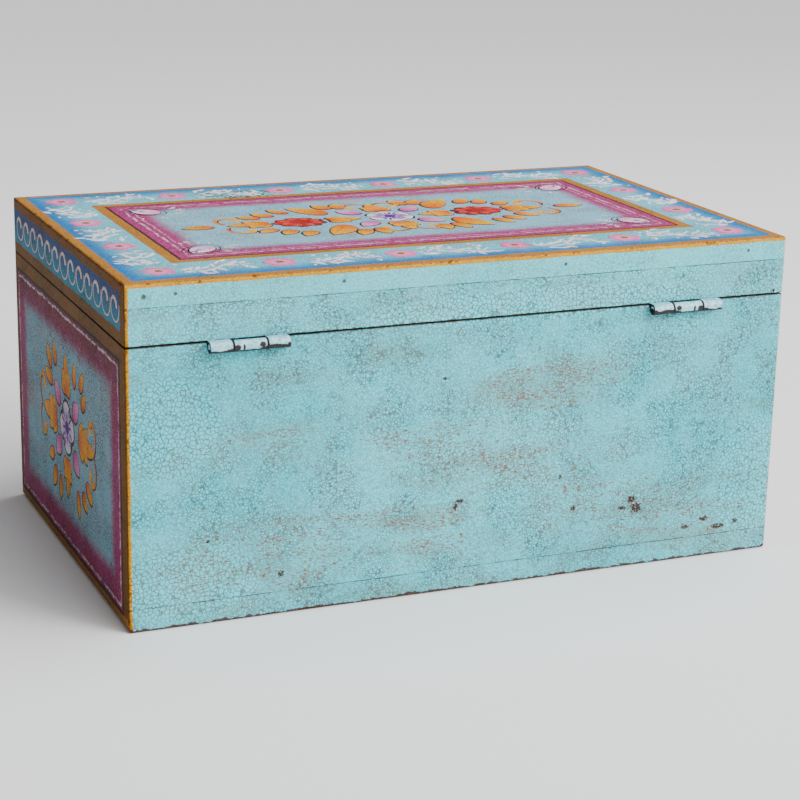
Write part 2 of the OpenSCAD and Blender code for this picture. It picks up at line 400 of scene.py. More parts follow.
def top_paint(g, wobble):
    across = g.size(g.x) + wobble
    along = g.size(g.y) + wobble
    from_rim = g.least(HALF_W - across, HALF_D - along)
    outside = g.most(across - TOP_BORDER_W, along - TOP_BORDER_D)
    patchy = from_rim + 9.0 * (g.noise(0.06, 3.0) - 0.5)
    colour = g.mix(g.rise(8.0, 26.0, patchy), SKY_DEEP, SKY_PALE)
    colour = g.mix(g.below(TOP_EDGE_BAND, from_rim), colour, TAN)
    inward = -outside - TOP_RULE
    line = g.most(chalk_line(g, inward, 8.0, 0.7, 0.60), chalk_line(g, inward, 12.0, 0.5, 0.40))
    panel = framed_panel(g, inward, line, MAUVE, 1.5)
    colour = g.mix(g.below(0.0, outside), colour, TAN)
    return g.mix(g.above(0.0, inward), colour, panel)


def side_paint(g, wobble, from_front, from_back, back_strip):
    """The ends and the front: a banded lid over a framed panel."""
    height = g.z + wobble
    patchy = height + 5.0 * (g.noise(0.08, 3.0) - 0.5)
    band = g.mix(g.rise(176.0, 196.0, patchy), LID_TEAL, LID_BLUE)
    dashes = g.rise(0.55, 0.72, g.noise(1.0, 3.0, 0.6, g.stretch(0.12, 0.12, 0.9)))
    ochre = g.mix(0.35 * dashes, OCHRE, TAN)
    in_lid = g.above(LID_BAND_LOW, height) * g.below(LID_BAND_HIGH, height)
    in_band = in_lid * g.above(back_strip - 2.0, from_back)
    colour = g.mix(in_band, ochre, band)
    inward = g.least(from_front - SHORT_STRIP, from_back - back_strip, height - PANEL_LOW,
                     PANEL_HIGH - height)
    rim = g.mix(g.rise(120.0, 160.0, g.z), MAUVE, PLUM)
    line = chalk_line(g, inward, 4.6, 0.75, 0.85)
    panel = framed_panel(g, inward, line, rim, 1.9)
    low = g.below(FOOT_BAND, height) * g.above(0.0, g.z)
    colour = g.mix(low, colour, TAN)
    return g.mix(g.above(0.0, inward), colour, panel)


def back_paint(g, wobble):
    streaks = g.noise(1.0, 4.0, 0.65, g.stretch(0.045, 0.4, 0.55))
    cloud = g.noise(0.012, 3.0, 0.55)
    colour = g.mix(g.rise(0.35, 0.68, cloud), TURQUOISE_DEEP, TURQUOISE)
    colour = g.mix(0.30 * g.rise(0.48, 0.74, streaks), colour, TURQUOISE_PALE)
    colour = g.mix(0.25 * g.above(HEIGHT - BOARD, g.z, 0.4), colour, TURQUOISE_GREEN)
    colour = g.mix(0.30 * g.above(SEAM, g.z, 0.4), colour, TURQUOISE_PALE)
    smears = g.noise(1.0, 4.0, 0.6, g.stretch(0.010, 0.1, 0.045))
    dusty = g.rise(0.50, 0.70, smears + 0.08 * g.rise(70.0, 0.0, g.z))
    colour = g.mix(0.30 * dusty, colour, DUST)
    rim = g.most(g.above(HEIGHT - 2.4, g.z + wobble), g.above(HALF_W - 2.2, g.x + wobble),
                 g.above(HALF_W - 0.9, wobble - g.x))
    return g.mix(rim, colour, OCHRE_EDGE)


def joint_lines(g):
    """Hairline joints where the boards of the back meet: 1 on the line."""
    result = 0.0
    for level in (BOARD, HEIGHT - BOARD):
        offset = g.size(g.z - level + 0.5 * (g.noise(0.02) - 0.5))
        result = g.below(0.26, offset, 0.16) + result
    return result * (0.40 + 0.60 * g.rise(0.38, 0.55, g.noise(0.09, 2.0)))


def bare_wood(g):
    lengthwise = g.stretch(0.035, 0.5, 0.5)
    crosswise = g.stretch(0.5, 0.035, 0.5)
    at_end = g.above(HALF_W - BOARD, g.size(g.x), 0.05)
    grain_x = g.noise(1.0, 4.0, 0.62, lengthwise)
    grain_y = g.noise(1.0, 4.0, 0.62, crosswise)
    grain = grain_x * (1.0 - at_end) + grain_y * at_end
    pores = g.rise(0.60, 0.70, g.noise(3.0, 2.0, 0.5, g.stretch(0.05, 0.6, 0.6)))
    colour = g.mix(g.rise(0.32, 0.68, grain), WOOD_DARK, WOOD_PALE)
    return g.mix(0.35 * pores, colour, WOOD_DARK), grain


def speckled_ground(g):
    """Where the back is worn into fine red-brown specks, 0 to 1, drawn out along the boards."""
    patches = add_patches(g, SPECK_PATCHES, 0.0)
    drawn_out = g.rise(0.34, 0.60, g.noise(1.0, 4.0, 0.6, g.stretch(0.025, 0.2, 0.14)))
    return g.least(1.4 * patches, 1.0) * drawn_out


def worn_chips(g):
    ragged = 5.0 * (g.noise(0.70, 4.0, 0.75) - 0.5)
    chips = 0.0
    for x, z, reach_x, reach_z in CHIPS:
        near = g.blob(g.x, g.z, (x, z), (reach_x * 1.15, reach_z * 1.15))
        chips = g.most(g.above(0.66, near + ragged * g.rise(0.0, 0.4, near), 0.10), chips)
    return chips


def wear(g, faces):
    """Where paint is gone: (share of speckled ground, dashes, chips, rubbed arrises, rubbed seam lips)."""
    patches = speckled_ground(g)
    dash = g.noise(1.0, 3.0, 0.68, g.stretch(0.32, 0.8, 1.20))
    dashes = g.rise(0.0, 0.035, dash - 0.630 + 0.100 * patches) * faces.back
    rub = 0.3 + 3.2 * g.rise(0.48, 0.80, g.noise(0.10, 4.0, 0.6))
    arris = g.below(0.0, faces.from_arris - rub, 0.25) * g.rise(0.44, 0.60, g.noise(0.35, 3.0))
    foot = g.below(1.3, g.z - 8.0 * (g.noise(0.14, 4.0, 0.7) - 0.44), 0.3)
    lip = g.below(0.85, g.size(g.z - SEAM) - 2.6 * (g.noise(0.3, 4.0, 0.65) - 0.5), 0.3)
    return patches * faces.back, dashes, worn_chips(g) * faces.back, g.most(arris * 0.9, foot), lip


def top_scuffs(g, faces):
    """Black worn spots in the border near the front edge of the lid."""
    zone = g.blob(g.x, g.y, *SCUFF_PLACE)
    spots = g.rise(0.60, 0.65, g.noise(0.42, 3.0, 0.6) + 0.13 * zone - 0.03)
    return spots * g.rise(0.0, 0.3, zone) * faces.top


def ground_colour(g, faces, wobble):
    """What was painted on each face, before cracks and wear."""
    front = side_paint(g, wobble, HALF_W - g.x, HALF_W + g.x, FRONT_STRIP)
    ends = side_paint(g, wobble, HALF_D + g.y, HALF_D - g.y, END_STRIP)
    colour = g.mix(faces.end, front, ends)
    colour = g.mix(faces.back, colour, back_paint(g, wobble))
    return g.mix(faces.top, colour, top_paint(g, wobble))


def soiled_and_shaded(g, faces, colour, mottle):
    """The ground with pale rubbing, grime in its hollows, and painted shade darkening the ends."""
    lighter = 0.09 * faces.back + 0.05
    colour = g.mix(lighter * g.rise(0.50, 0.70, mottle), colour, STROKE_WHITE)
    colour = g.mix((0.24 - 0.18 * faces.back) * g.rise(0.50, 0.32, mottle), colour, GRIME_AND_SHADE)
    # The ends are darkened here as painted shade.
    return g.mix(END_PAINTED_SHADE * faces.end, colour, GRIME_AND_SHADE)


def cracked(g, faces, colour, cracks, speckled):
    """The same with dark lines in the cracks, redder on the speckled ground."""
    aged = g.mix(g.rise(0.36, 0.56, g.noise(0.05, 3.0)), CRACK_GREY, CRACK_BROWN)
    crack_colour = g.mix(0.55 * speckled, aged, CRACK_RED)
    return g.mix(cracks * (0.80 - 0.24 * faces.top), colour, crack_colour)


def worn(g, faces, colour, dashes, chips, arris):
    """The same with its paint gone in dashes, chips, along the arrises and in the scuffed border."""
    colour = g.mix(0.88 * dashes, colour, CRACK_RED)
    colour = g.mix(0.95 * chips, colour, WORN_WOOD)
    colour = g.mix(0.90 * arris, colour, WORN_WOOD)
    return g.mix(top_scuffs(g, faces), colour, GRIME_AND_SHADE)


def lined(g, faces, colour, lines, lip):
    """The same with the boards' joints, the dark lips of the seam and one spot of green paint."""
    colour = g.mix(0.8 * lines, colour, GRIME_AND_SHADE)
    colour = g.mix(0.75 * lip, colour, GRIME_AND_SHADE)
    spot = g.blob(g.x, g.z, *GREEN_SPOT_PLACE) * faces.back
    return g.mix(0.8 * spot, colour, GREEN_SPOT)


def chest_paint():
    g = Graph("chest_paint")
    faces = Faces(g)
    colour = ground_colour(g, faces, 1.3 * (g.noise(0.05, 2.0) - 0.5))
    strip = g.above(HEIGHT - BOARD, g.z) * faces.back
    cracks = with_coarse_patches(g, crackle(g), faces.back) * (1.0 - 0.45 * strip)
    mottle = g.noise(0.6, 4.0, 0.72)
    colour = soiled_and_shaded(g, faces, colour, mottle)
    speckled, dashes, chips, arris, lip = wear(g, faces)
    colour = cracked(g, faces, colour, cracks, speckled)
    wood, grain = bare_wood(g)
    colour = worn(g, faces, colour, dashes, chips, arris)
    lines = joint_lines(g) * faces.back
    colour = lined(g, faces, colour, lines, lip)
    bare = g.most(faces.inside, faces.bottom)
    colour = g.mix(bare, colour, wood)
    painted = 1.0 - bare
    lost = g.most(dashes, chips, arris, lines)
    relief = 0.5 - painted * (0.40 * cracks + 0.45 * lost)
    height = relief + 0.22 * mottle * painted + 0.35 * grain * bare
    rough = 0.56 + 0.16 * cracks * painted + 0.16 * lost + 0.10 * bare + 0.10 * mottle
    return g.finish(colour, rough, height, 0.26)


def motif_paint():
    """Brushed motifs: each mesh carries its own colours, under the same cracks as the ground."""
    g = Graph("motif_paint")
    stored = g.nodes.new("ShaderNodeAttribute")
    stored.attribute_name = "brush"
    bristle = g.noise(0.9, 4.0, 0.7)
    colour = g.mix(0.16 * g.rise(0.52, 0.75, bristle), stored.outputs["Color"], STROKE_WHITE)
    colour = g.mix(0.42 * g.rise(0.48, 0.28, bristle), colour, ROSE_DARK)
    cracks = crackle(g)
    colour = g.mix(0.55 * cracks, colour, CRACK_BROWN)
    # Motifs on the ends are darkened as painted shade, like the ground there.
    at_end = g.above(HALF_W - 0.5, g.size(g.x), 0.2)
    colour = g.mix(END_PAINTED_SHADE * at_end, colour, GRIME_AND_SHADE)
    height = 0.5 - 0.30 * cracks + 0.30 * bristle
    return g.finish(colour, 0.50 + 0.20 * cracks + 0.12 * bristle, height, 0.16)


# Chips on each hinge, from its middle and its pin: (x, z, reach in x, reach in z)
HINGE_CHIPS = ((8.2, -0.6, 2.4, 1.9), (10.6, -1.9, 4.0, 1.6), (-9.5, -1.9, 4.6, 1.4), (-14, -1.0, 6.5, 1.2),
               (4.0, -0.6, 0.8, 2.0), (-6.8, 0.5, 1.9, 1.5), (21.8, -2.2, 3.0, 1.0), (-22.5, -1.2, 1.4, 1.8),
               (-19.5, -1.8, 4.0, 1.4), (14.5, -2.5, 3.0, 1.2))


def hinge_paint():
    """Thick pale paint over iron, chipped low down and beside the knuckles' joints; painted highlights and
    painted shade below.
    """
    g = Graph("hinge_paint")
    along = g.size(g.x) - HINGE_X
    height = g.z - PIN_Z
    ragged = 1.9 * (g.noise(0.9, 4.0, 0.65) - 0.5)
    chipped = 0.0
    for x, z, reach_x, reach_z in HINGE_CHIPS:
        near = g.blob(along, height, (x, z), (reach_x * 1.3, reach_z * 1.4))
        chipped = g.most(g.above(0.45, near + ragged * g.rise(0.0, 0.2, near), 0.12), chipped)
    # Dark bare iron along the underside of each barrel is painted shade.
    under = g.above(1.9, ragged - height, 0.25)
    gap = g.size(g.size(along) - KNUCKLE_JOINT)
    edge = g.above(0.4, ragged * 0.6 - gap + 1.15, 0.2)
    end_face = g.above(KNUCKLE_END - 0.12, g.size(along), 0.06)
    from_pin = g.math("SQRT", height * height + (g.y - PIN_Y) * (g.y - PIN_Y))
    ring = end_face * g.above(PIN_RADIUS - 0.1, from_pin, 0.1)
    hidden = g.below(HALF_D - 0.4, g.y, 0.3)
    # bare also carries that painted shade on the barrels' undersides.
    bare = g.most(chipped, under, edge, ring, hidden)
    tone = g.mix(g.rise(0.4, 0.65, g.noise(0.35, 3.0)), HINGE_PAINT, HINGE_SHADE)
    # The whiter patches in the pale paint are painted highlights.
    tone = g.mix(0.5 * g.rise(0.55, 0.7, g.noise(0.8, 3.0)), tone, STROKE_WHITE)
    metal = g.mix(0.6 * g.rise(0.52, 0.68, g.noise(1.4, 3.0)), IRON, RUST)
    colour = g.mix(bare, tone, metal)
    relief = 0.5 - 0.5 * bare + 0.2 * g.noise(1.6, 3.0)
    return g.finish(colour, 0.30 + 0.35 * bare, relief, 0.16, specular=METAL_SHINE)


def steel():
    g = Graph("dull_steel")
    stain = g.noise(0.8, 4.0, 0.6)
    colour = g.mix(g.rise(0.42, 0.62, stain), STEEL, RUST)
    colour = g.mix(0.6 * g.rise(0.5, 0.7, g.noise(2.2, 2.0)), colour, IRON)
    return g.finish(colour, 0.35 + 0.35 * stain, stain, 0.08, metallic=0.75, specular=METAL_SHINE)


# ------------------------------ brushwork as thin raised meshes

# Heights above the paint of a motif's rim, its crown, its dark outline, and strokes on top of it
SINK = -0.06
CROWN = 0.14
OUTLINE_CROWN = 0.08
ON_TOP = 0.26


class Canvas:
    """A painted face: turns (u, v, height above the paint) into a place in the row frame."""

    def __init__(self, origin, right, up, scale=1.0):
        self.origin = Vector(origin)
        self.right = Vector(right)
        self.up = Vector(up)
        self.normal = self.right.cross(self.up)
        self.scale = scale

    def at(self, u, v, lift):
        flat = (self.right * u + self.up * v) * self.scale
        return (self.origin + flat + self.normal * lift) * MM


def blend_colour(first, second, share):
    share = min(max(share, 0.0), 1.0)
    return tuple(a + (b - a) * share for a, b in zip(first, second))


class Brush:
    """Gathers motifs on one canvas into one mesh."""

    def __init__(self, canvas):
        self.canvas = canvas
        self.points = []
        self.faces = []
        self.colours = []

    def add_point(self, u, v, lift, colour):
        self.points.append(self.canvas.at(u, v, lift))
        self.colours.append(colour)
        return len(self.points) - 1

    def dome(self, outline, centre, colour_at, crown=CROWN):
        """A low crowned patch inside a closed outline; colour_at takes a share from rim to middle."""
        rings = ((1.0, SINK), (0.985, crown * 0.55), (0.90, crown * 0.85), (0.55, crown))
        count = len(outline)
        start = len(self.points)
        for scale, lift in rings:
            for u, v in outline:
                pu = centre[0] + (u - centre[0]) * scale
                pv = centre[1] + (v - centre[1]) * scale
                self.add_point(pu, pv, lift, colour_at(pu, pv, 1.0 - scale))
        for ring in range(len(rings) - 1):
            low = start + ring * count
            high = low + count
            for i in range(count):
                j = (i + 1) % count
                self.faces.append((low + i, low + j, high + j, high + i))
        middle = self.add_point(centre[0], centre[1], crown * 1.05, colour_at(*centre, 1.0))
        foot = self.add_point(centre[0], centre[1], SINK, colour_at(*centre, 1.0))
        last = start + (len(rings) - 1) * count
        for i in range(count):
            j = (i + 1) % count
            self.faces.append((last + i, last + j, middle))
            self.faces.append((start + j, start + i, foot))

    def ribbon(self, path, widths, colour, crown=CROWN * 0.8, end_colour=None):
        """A brush stroke along a path, with its own width at each point."""
        profile = ((-1.0, SINK), (-0.85, crown * 0.6), (0.0, crown), (0.85, crown * 0.6), (1.0, SINK))
        start = len(self.points)
        steps = len(path)
        for k, (u, v) in enumerate(path):
            before = path[max(k - 1, 0)]
            after = path[min(k + 1, steps - 1)]
            du, dv = after[0] - before[0], after[1] - before[1]
            length = math.hypot(du, dv) or 1.0
            nu, nv = -dv / length, du / length
            tint = blend_colour(colour, end_colour or colour, k / (steps - 1))
            for side, lift in profile:
                half = widths[k] / 2
                self.add_point(u + nu * half * side, v + nv * half * side, lift, tint)
        span = len(profile)
        for k in range(steps - 1):
            for s in range(span):
                a = start + k * span + s
                b = start + k * span + (s + 1) % span
                self.faces.append((a, a + span, b + span, b))
        self.faces.append(tuple(start + s for s in range(span)))
        self.faces.append(tuple(start + (steps - 1) * span + s for s in reversed(range(span))))

    def build(self, name, body, material):
        mesh = bpy.data.meshes.new(name)
        mesh.from_pydata([tuple(p) for p in self.points], [], self.faces)
        colours = mesh.color_attributes.new("brush", "FLOAT_COLOR", "POINT")
        for i, colour in enumerate(self.colours):
            colours.data[i].color = colour
        shape = bmesh.new()
        shape.from_mesh(mesh)
        bmesh.ops.recalc_face_normals(shape, faces=shape.faces)
        shape.to_mesh(mesh)
        shape.free()
        mesh.shade_smooth()
        mesh.materials.append(material)
        piece = bpy.data.objects.new(name, mesh)
        bpy.context.scene.collection.objects.link(piece)
        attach(piece, body)


def turned(points, centre, angle):
    c, s = math.cos(angle), math.sin(angle)
    return [(centre[0] + u * c - v * s, centre[1] + u * s + v * c) for u, v in points]


PETAL_STEPS = 24
ROSE_STEPS = 64


def polar(centre, reach, turn):
    """The point at a distance from a centre, in a direction."""
    return (centre[0] + reach * math.cos(turn), centre[1] + reach * math.sin(turn))


def petal_outline(length, width, bend=0.0):
    """A leaf from its rounded stalk end at -length/2 to its point at +length/2."""
    points = []
    for k in range(PETAL_STEPS):
        t = 2 * math.pi * k / PETAL_STEPS
        u = -math.cos(t) * length / 2
        sharpness = 1.0 + 0.35 * (1.0 - math.cos(t))
        half = abs(math.sin(t)) ** sharpness * (1.0 + 0.20 * math.cos(t)) * width / 2
        points.append((u, math.copysign(half, math.sin(t)) + bend * (1 - (2 * u / length) ** 2)))
    return points


def lobed_outline(length, width, lobes, depth):
    """A rose: a rounded form with lobes and a drawn-out point at +u."""
    points = []
    for k in range(ROSE_STEPS):
        t = 2 * math.pi * k / ROSE_STEPS
        reach = 1.0 - depth + depth * abs(math.cos(lobes * t / 2)) ** 0.8
        point = 0.14 * max(math.cos(t), 0.0) ** 8
        points.append(((reach + point) * math.cos(t) * length / 2, reach * math.sin(t) * width / 2))
    return points


def flower_outline(radius, petals, depth=0.24, steps=60, phase=0.0):
    """A ring of rounded petals."""
    points = []
    for k in range(steps):
        t = 2 * math.pi * k / steps
        reach = radius * (1.0 - depth + depth * abs(math.cos(petals * (t + phase) / 2)) ** 0.7)
        points.append(polar((0, 0), reach, t))
    return points


# How far a motif's dark copy is moved and reaches past it
OUTLINE_SHIFT = (-0.5, -0.6)
OUTLINE_RIM = 0.95


def outlined(brush, outline, centre, angle):
    """A slightly larger navy copy that shows round a motif, mostly along its lower side."""
    reach = max(abs(u) for u, _ in outline)
    spread = max(abs(v) for _, v in outline)
    middle = (centre[0] + OUTLINE_SHIFT[0], centre[1] + OUTLINE_SHIFT[1])
    grown = [(u * (1 + OUTLINE_RIM / reach), v * (1 + OUTLINE_RIM / spread)) for u, v in outline]
    brush.dome(turned(grown, middle, angle), middle, lambda u, v, share: NAVY, OUTLINE_CROWN)


def filled(brush, outline, centre, angle, tip, base, crown=CROWN):
    """A motif shaded from its base to its tip."""
    reach = max(abs(u) for u, _ in outline)
    c, s = math.cos(angle), math.sin(angle)

    def colour_at(u, v, share):
        run = ((u - centre[0]) * c + (v - centre[1]) * s) / reach
        return blend_colour(base, tip, 0.55 + 0.62 * run)
    brush.dome(turned(outline, centre, angle), centre, colour_at, crown)


def shaded(brush, outline, centre, angle, tip, base):
    outlined(brush, outline, centre, angle)
    filled(brush, outline, centre, angle, tip, base)


VEIN_WIDTHS = (0.8, 1.0, 0.9, 0.8, 0.6, 0.4, 0.2)


def vein(brush, centre, angle, length):
    last = len(VEIN_WIDTHS) - 1
    path = [(-length / 2 + length * k / last, 0.25 * math.sin(k)) for k in range(last + 1)]
    brush.ribbon(turned(path, centre, angle), VEIN_WIDTHS, ROSE_DARK, CROWN * 1.35)


def leaf(brush, centre, angle, length, width, bend=0.0, veined=False):
    shaded(brush, petal_outline(length, width, bend), centre, angle, ORANGE, SALMON)
    if veined:
        vein(brush, centre, angle, length * 0.55)


# Lobes of a palmette: (place along it, lean, share of its length, share of its width)
LEAFLETS = ((0.22, 1.15, 0.36, 0.34), (0.22, -1.15, 0.36, 0.34), (0.44, 0.80, 0.36, 0.30),
            (0.44, -0.80, 0.36, 0.30), (0.66, 0.0, 0.66, 0.36), (0.36, 0.0, 0.60, 0.62))


def palmette(brush, centre, angle, length, width):
    """A scalloped leaf: lobes on both sides of a midrib and one pointed lobe at its tip, all outlined."""
    lobes = []
    for along, lean, share, plumpness in LEAFLETS:
        turn = angle + lean
        aside = math.copysign(width * 0.20, lean) if lean else 0.0
        at = turned([(length * (along - 0.5), aside)], centre, angle)[0]
        lobes.append((petal_outline(length * share, width * plumpness), at, turn))
    for outline, at, turn in lobes:
        outlined(brush, outline, at, turn)
    for k, (outline, at, turn) in enumerate(lobes):
        filled(brush, outline, at, turn, ORANGE, SALMON, CROWN * (0.90 + 0.06 * k))
    vein(brush, centre, angle, length * 0.5)


def rose(brush, centre, angle, length, width):
    """A full red flower seen flat, with paler petals round a dark heart."""
    shaded(brush, lobed_outline(length, width, 9, 0.18), centre, angle, ROSE, ROSE_DARK)
    for k in range(8):
        t = 2 * math.pi * k / 8 + 0.3
        at = turned([(length * 0.31 * math.cos(t), width * 0.31 * math.sin(t))], centre, angle)[0]
        petal = petal_outline(length * 0.24, width * 0.22)
        filled(brush, petal, at, angle + t, ROSE_PALE, ROSE, CROWN * 1.25)
    arc = [(length * 0.17 * math.cos(t / 6), width * 0.17 * math.sin(t / 6)) for t in range(4, 36)]
    path = turned(arc, centre, angle)
    brush.ribbon(path, [1.1] * len(path), ROSE_DARK, CROWN * 1.4)


def open_flower(brush, centre, radius, petals, rim, middle, eye, phase=0.0):
    """Rounded petals round an eye, each darker where it meets the eye."""
    for k in range(petals):
        turn = phase + 2 * math.pi * k / petals
        at = polar(centre, radius * 0.55, turn)
        petal = turned(flower_outline(radius * 0.47, 3, 0.10, 20, 1.0), at, turn)

        def colour_at(u, v, share):
            out = math.hypot(u - centre[0], v - centre[1]) / radius
            return blend_colour(middle, rim, out * 1.3 - 0.3)
        brush.dome(petal, at, colour_at, CROWN * (0.9 + 0.05 * (k % 3)))
    disc = turned(flower_outline(radius * 0.27, 5, 0.12, 24), centre, 0.0)
    brush.dome(disc, centre, lambda u, v, share: eye, CROWN * 1.7)


def outlined_flower(brush, centre, radius, petals, phase):
    """A white and lilac flower with a navy edge, violet strokes between its petals and a violet eye."""
    edge = turned(flower_outline(radius * 1.10, petals, 0.24, 60, -phase), centre, 0.0)
    brush.dome(edge, centre, lambda u, v, share: NAVY, OUTLINE_CROWN)
    open_flower(brush, centre, radius, petals, STROKE_WHITE, LILAC, VIOLET, phase)
    for k in range(petals * 3):
        turn = phase + 2 * math.pi * (k - 1) / (petals * 3)
        between = k % 3 != 1
        reach = radius * (0.62 if between else 0.44)
        at = polar(centre, reach, turn)
        stroke(brush, at, turn, radius * (0.5 if between else 0.36), 1.9, 0.4, VIOLET, ON_TOP)


def curl(brush, centre, angle, flip, size, stem):
    """A stem that swings out and rolls over into a bulb."""
    path, widths = [], []
    for k in range(20):
        t = k / 19
        turn = 3.9 * t ** 1.25
        radius = size * (0.52 - 0.26 * t)
        path.append((radius * math.sin(turn) + stem * (1 - t) * -0.9,
                     flip * (size * 0.5 - radius * math.cos(turn))))
        widths.append(1.7 + 3.6 * t ** 1.5)
    placed = turned(path, centre, angle)
    shadow = [(u + 0.4, v - 0.35) for u, v in placed]
    brush.ribbon(shadow, [w + 0.9 for w in widths], NAVY, OUTLINE_CROWN)
    brush.ribbon(placed, widths, SALMON, end_colour=ORANGE)
    bulb = turned(flower_outline(3.0, 3, 0.05, 20), placed[-1], 0.0)
    brush.dome(bulb, placed[-1], lambda u, v, share: ORANGE, CROWN * 1.2)


def stroke(brush, centre, angle, length, width, bow, tint=STROKE_WHITE, crown=CROWN * 0.8):
    """A comma: fat at its head, fine at its tail."""
    path, widths = [], []
    for k in range(9):
        t = k / 8
        path.append((length * (t - 0.5), bow * math.sin(math.pi * t)))
        widths.append(max(width * math.sin(math.pi * min(t * 0.85 + 0.12, 1.0)) ** 1.4, 0.15))
    brush.ribbon(turned(path, centre, angle), widths, tint, crown)


# ------------------------------ compositions

SEED = 11
# Small leaves in a quadrant of the top's medallion, and all of an end's: (u, v, turn, length, width)
SMALL_LEAVES = ((21, 39, 1.75, 17, 9.5), (32, 39, 1.15, 17, 9.5), (65, 33, 1.10, 17, 9.5),
                (76, 27, 0.90, 16, 9.5), (87, 20, 0.70, 16, 9.5))
END_LEAVES = ((-41, 36, 2.3, 17, 8.5), (-27, 40, 1.9, 15, 8), (-43, 22, 2.95, 20, 9),
              (21, 39, 1.5, 16, 8), (37, 38, 1.0, 15, 8), (41, 27, 0.9, 14, 8),
              (-39, -28, -2.7, 14, 8), (-32, -41, -2.1, 17, 9), (-18, -43, -1.7, 16, 8),
              (25, -42, -1.4, 17, 8), (39, -36, -0.7, 14, 8), (50, -27, -0.7, 16, 9))
# Palmettes of an end's medallion: (u, v, turn, length, width)
END_PALMETTES = ((-40, 0, math.pi, 36, 30), (44, 1, 0.0, 38, 29),
                 (0, 34, math.pi / 2, 28, 26), (0, -32, -math.pi / 2, 27, 25))


QUADRANTS = ((1, 1), (-1, 1), (-1, -1), (1, -1))
# Places on the top: the corner shells, and the lines on which the border's flowers stand
SHELL_PLACE = (143, 58)
SHELL_TURN = 0.75
BORDER_U = 187
BORDER_V = 103
FLOWERS_ALONG = (-184, -110, -37, 37, 110, 184)
FLOWERS_ACROSS = (-35, 35)
SPRIGS_ALONG = (-147, -73, 0, 73, 147)
SPRIGS_ACROSS = (-69, 0, 69)


def mirrored(angle, su, sv):
    """An angle given for the right upper quadrant, carried to another one."""
    return math.atan2(math.sin(angle) * sv, math.cos(angle) * su)


def top_medallion(brush, rng):
    """The long medallion of the lid's top, used again, smaller, on the front."""
    def jitter(amount):
        return rng.uniform(-amount, amount)
    for su, sv in QUADRANTS:
        for u, v, angle, length, width in SMALL_LEAVES:
            at = (su * u + jitter(1.2), sv * v + jitter(1.0))
            turn = mirrored(angle, su, sv) + jitter(0.16)
            leaf(brush, at, turn, length + jitter(1.0), width + jitter(0.7))
        lean = mirrored(1.0, su, sv) + jitter(0.08)
        leaf(brush, (su * 46 + jitter(1), sv * 29), lean, 31, 16, su * sv * 2.2, True)
        lean = mirrored(0.75, su, sv)
        shaded(brush, petal_outline(17, 11), (su * 21, sv * 18), lean, DROP_PALE, DROP_PINK)
        curl(brush, (su * 110, sv * 7), lean, su * sv, 22, 3)
        curl(brush, (su * 3, sv * 39), mirrored(1.2, su, sv), -su * sv, 20, 3)
    for side in (0, math.pi):
        su = math.cos(side)
        palmette(brush, (su * 31, 0), side + math.pi, 23, 24)
        rose(brush, (su * 60, jitter(1)), side, 33, 27)
        palmette(brush, (su * 93, jitter(1)), side, 29, 25)
        leaf(brush, (su * 126, jitter(1)), side, 20, 10, 0.0, True)
    for sv in (1, -1):
        palmette(brush, (0, sv * 28), sv * math.pi / 2, 24, 26)
    outlined_flower(brush, (0, 0), 15, 6, 0.5)


def corner_shell(brush, centre, angle, rng):
    """A white shell with violet ribs inside a loose navy loop, and small white strokes beside it."""
    shaded(brush, petal_outline(21, 14), centre, angle, STROKE_WHITE, DROP_PALE)
    loop = [(14.5 * math.cos(t / 5), 10.0 * math.sin(t / 5)) for t in range(3, 31)]
    brush.ribbon(turned(loop, centre, angle), [0.9] * len(loop), NAVY, CROWN * 0.6)
    near_point = polar(centre, 4.5, angle)
    for k in range(5):
        turn = angle + math.pi + 0.28 * (k - 2)
        stroke(brush, near_point, turn, 10, 1.7, 0.4, VIOLET if k % 2 else LILAC, ON_TOP)
    for k in range(12):
        spread = angle + math.pi + rng.uniform(-1.4, 1.4)
        reach = rng.uniform(15, 24)
        at = polar(centre, reach, spread)
        stroke(brush, at, spread, rng.uniform(3, 6), rng.uniform(0.8, 1.6), 0.5)


def corner_shells(brush, rng):
    for su, sv in QUADRANTS:
        place = (su * SHELL_PLACE[0], sv * SHELL_PLACE[1])
        corner_shell(brush, place, mirrored(SHELL_TURN, su, sv), rng)


def border_flower_places():
    places = [(u, v) for v in (BORDER_V, -BORDER_V) for u in FLOWERS_ALONG]
    return places + [(u, v) for u in (-BORDER_U, BORDER_U) for v in FLOWERS_ACROSS]


def top_border(brush, rng):
    for u, v in border_flower_places():
        centre = (u + rng.uniform(-1.5, 1.5), v + rng.uniform(-1.5, 1.5))
        open_flower(brush, centre, rng.uniform(9.6, 10.8), 5, PINK, PINK_PALE, OLIVE, rng.uniform(0, 1))
    for run_u, run_v, horizontal in border_runs():
        sprig(brush, rng, (run_u, run_v), 0.0 if horizontal else math.pi / 2, 24 if horizontal else 20)


